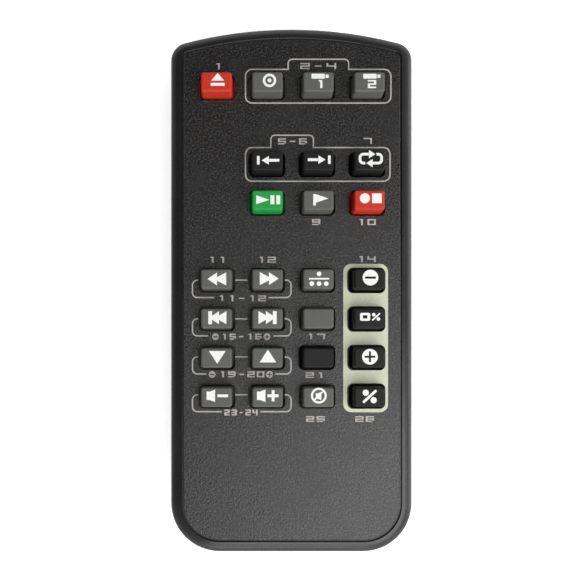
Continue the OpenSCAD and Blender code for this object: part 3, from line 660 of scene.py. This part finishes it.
KEY_SIGNS = {
    # the shapes or outlines of the sign, then how far it sits off the key's centre
    "key_eject": ([triangle(0, 0.58, 1.7, 2.85, 90), bar(0, -1.1, 3.1, 0.66)], (0.3, 0.5)),
    "key_source_disc": ([Patch(disc(0, 0, 1.5), disc(0, 0, 0.95)), disc(0, 0, 0.45)],
                        (0.45, 0.27)),
    "key_source_usb_1": (usb_sign("1"), (0.35, 0.2)),
    "key_source_usb_2": (usb_sign("2"), (0.5, 0.2)),
    "key_cue_in": ([bar(-2.3, 0, 0.6, 1.9), triangle(-0.75, 0, 1.6, 1.9, 180),
                    bar(1.25, 0, 2.3, 0.62)], (0.25, 0.05)),
    "key_cue_out": ([bar(-1.5, 0, 2.3, 0.62), triangle(0.5, 0, 1.6, 1.9),
                     bar(2.15, 0, 0.6, 1.9)], (0.25, 0.2)),
    "key_reloop": (loop_sign(), (0.25, 0.43)),
    "key_play_pause": ([triangle(-1.1, 0, 2.94, 1.98), bar(1.05, 0, 0.88, 2.0),
                        bar(2.35, 0, 0.88, 2.0)], (0.05, 0.05)),
    "key_marker": ([bar(-1.2, 0, 0.62, 2.5), triangle(0.5, 0.3, 2.8, 1.9)], (0.3, 0.05)),
    "key_record_stop": ([disc(-1.37, 0, 1.12), bar(1.3, 0, 2.17, 2.17)], (0.3, 0.38)),
    "key_rewind": ([chevrons(-1)], (0.1, 0)),
    "key_fast_forward": ([chevrons(1)], (0.38, 0.07)),
    "key_single_continue": (sequence_sign(), (0.1, 0.05)),
    "key_pitch_minus": ([Patch(disc(0, 0, 1.75, 56), bar(0, 0, 2.4, 0.48))], (0.17, 0.3)),
    "key_track_back": ([skip_sign(-1)], (0.25, 0.15)),
    "key_track_next": ([skip_sign(1)], (0, 0.2)),
    "key_pitch_zero": (zero_percent_sign(), (0.15, 0.35)),
    "key_folder_down": ([triangle(0, 0, 2.87, 3.7, -90)], (0.2, 0.1)),
    "key_folder_up": ([triangle(0, 0, 2.87, 3.7, 90)], (0.1, 0.42)),
    "key_pitch_plus": ([Patch(disc(0, 0, 1.75, 56), cross(0, 0, 2.4, 0.46))], (0.05, 0.25)),
    "key_volume_down": ([speaker(-1.45), bar(1.2, 0, 2.4, 0.62)], (0.22, 0.34)),
    "key_volume_up": ([speaker(-1.45), cross(1.2, 0, 2.5, 0.66)], (0.05, 0.35)),
    "key_mute": (mute_sign(), (0.05, 0.38)),
    "key_pitch_range": (percent(0), (0, 0.2)),
}
for node_name, (shapes, offset) in KEY_SIGNS.items():
    low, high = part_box(node_name)
    x, y = (low + high).xy / 2 / MM + Vector(offset)
    placed = [(Patch(s) if isinstance(s, list) else s).moved(x, y) for s in shapes]
    body = node_name.replace("key_", "body_", 1)
    printed(node_name.replace("key_", "sign_", 1), placed, high.z, body, symbol_ink)


# ---- Floor ----
FLOOR_HALF = 2.0        # metres from its middle to its edge
FLOOR_Z = -0.0002       # a little below the case, so that the two don't flicker
FLOOR_GLOW = 0.7        # what it adds for the lens; less than 1 keeps the shadow


def seen_rays(tree):
    """Two values: 1 for what the lens sees straight, and 1 for what it sees in a gloss
    or through glass."""
    path = add_node(tree, "ShaderNodeLightPath").outputs
    mirrored = math_node(tree, "MAXIMUM", path["Is Glossy Ray"], path["Is Transmission Ray"])
    return path["Is Camera Ray"], mirrored


floor_mesh = bmesh.new()
bmesh.ops.create_grid(floor_mesh, x_segments=8, y_segments=8, size=FLOOR_HALF)
floor_data = bpy.data.meshes.new("floor")
floor_mesh.to_mesh(floor_data)
floor_mesh.free()
floor = bpy.data.objects.new("floor", floor_data)
floor.location.z = FLOOR_Z
bpy.context.scene.collection.objects.link(floor)
floor_paint = grained("floor_paint", (0.88, 0.88, 0.87), 0.01, 0.004, 0.00002, (0.85, 0.95))
floor_tree = floor_paint.node_tree
seen = math_node(floor_tree, "MAXIMUM", *seen_rays(floor_tree))
glow = math_node(floor_tree, "MULTIPLY", seen, FLOOR_GLOW)
floor_shader = floor_tree.nodes["Principled BSDF"]
floor_shader.inputs["Emission Color"].default_value = (1, 1, 1, 1)
floor_tree.links.new(glow, floor_shader.inputs["Emission Strength"])
floor_data.materials.append(floor_paint)


# ---- Room: bright at the horizon and dim overhead, brighter at the right and near side ----
# Straight it is seen white; a gloss shows a white wall below the dim ceiling. Heights are
# sines of the elevation, and 1 is white.
HORIZON, OVERHEAD = 0.9, 0.2
OVERHEAD_FROM = 0.8                 # height from which the room is as dim as overhead
FAR_LEFT, NEAR_RIGHT = 0.2, 1.4     # factors at the two sides
WALL_FADES = (0.22, 0.4)            # heights between which the white wall fades out

world = bpy.data.worlds.new("studio")
world.use_nodes = True
bpy.context.scene.world = world
sky = world.node_tree
place = add_node(sky, "ShaderNodeTexCoord")
split = add_node(sky, "ShaderNodeSeparateXYZ")
sky.links.new(place.outputs["Generated"], split.inputs["Vector"])
ceiling = map_range(sky, split.outputs["Z"], HORIZON, OVERHEAD, 0.0, OVERHEAD_FROM)
sideways = math_node(sky, "SUBTRACT", split.outputs["X"], split.outputs["Y"])
side = map_range(sky, sideways, FAR_LEFT, NEAR_RIGHT, -1.0, 1.0)
room = math_node(sky, "MULTIPLY", ceiling, side)
wall = map_range(sky, split.outputs["Z"], 1.0, 0.0, *WALL_FADES)
straight, mirrored = seen_rays(sky)
lit = math_node(sky, "MAXIMUM", room, straight)
strength = math_node(sky, "MAXIMUM", lit, math_node(sky, "MULTIPLY", mirrored, wall))
background = sky.nodes["Background"]
background.inputs["Color"].default_value = (1, 1, 1, 1)
sky.links.new(strength, background.inputs["Strength"])


# ---- Lamps ----
def softbox(name, place, turn, size, watts, lift=0):
    """An area light of (width, height), facing down and turned by degrees about the
    vertical; lift, in degrees, raises it to face the horizon."""
    data = bpy.data.lights.new(name, "AREA")
    data.shape = "RECTANGLE"
    data.size, data.size_y = size
    data.energy = watts
    lamp = bpy.data.objects.new(name, data)
    lamp.location = place
    lamp.rotation_euler = (math.radians(lift), 0, math.radians(turn))
    bpy.context.scene.collection.objects.link(lamp)


# The big one mirrors in the panel, and its upper left corner ends the sheen there. The
# strips draw the bright lines along the rim's inner edge, at the left and at the bow.
softbox("key_light", (0.43, -0.52, 0.7), -18, (1.0, 1.0), 10.3)
softbox("right_edge_light", (0.9, 0.06, 0.12), 90, (0.9, 0.2), 1.6, lift=90)
softbox("front_edge_light", (0.0, -1.2, 0.56), 0, (0.7, 0.25), 1.5, lift=65)
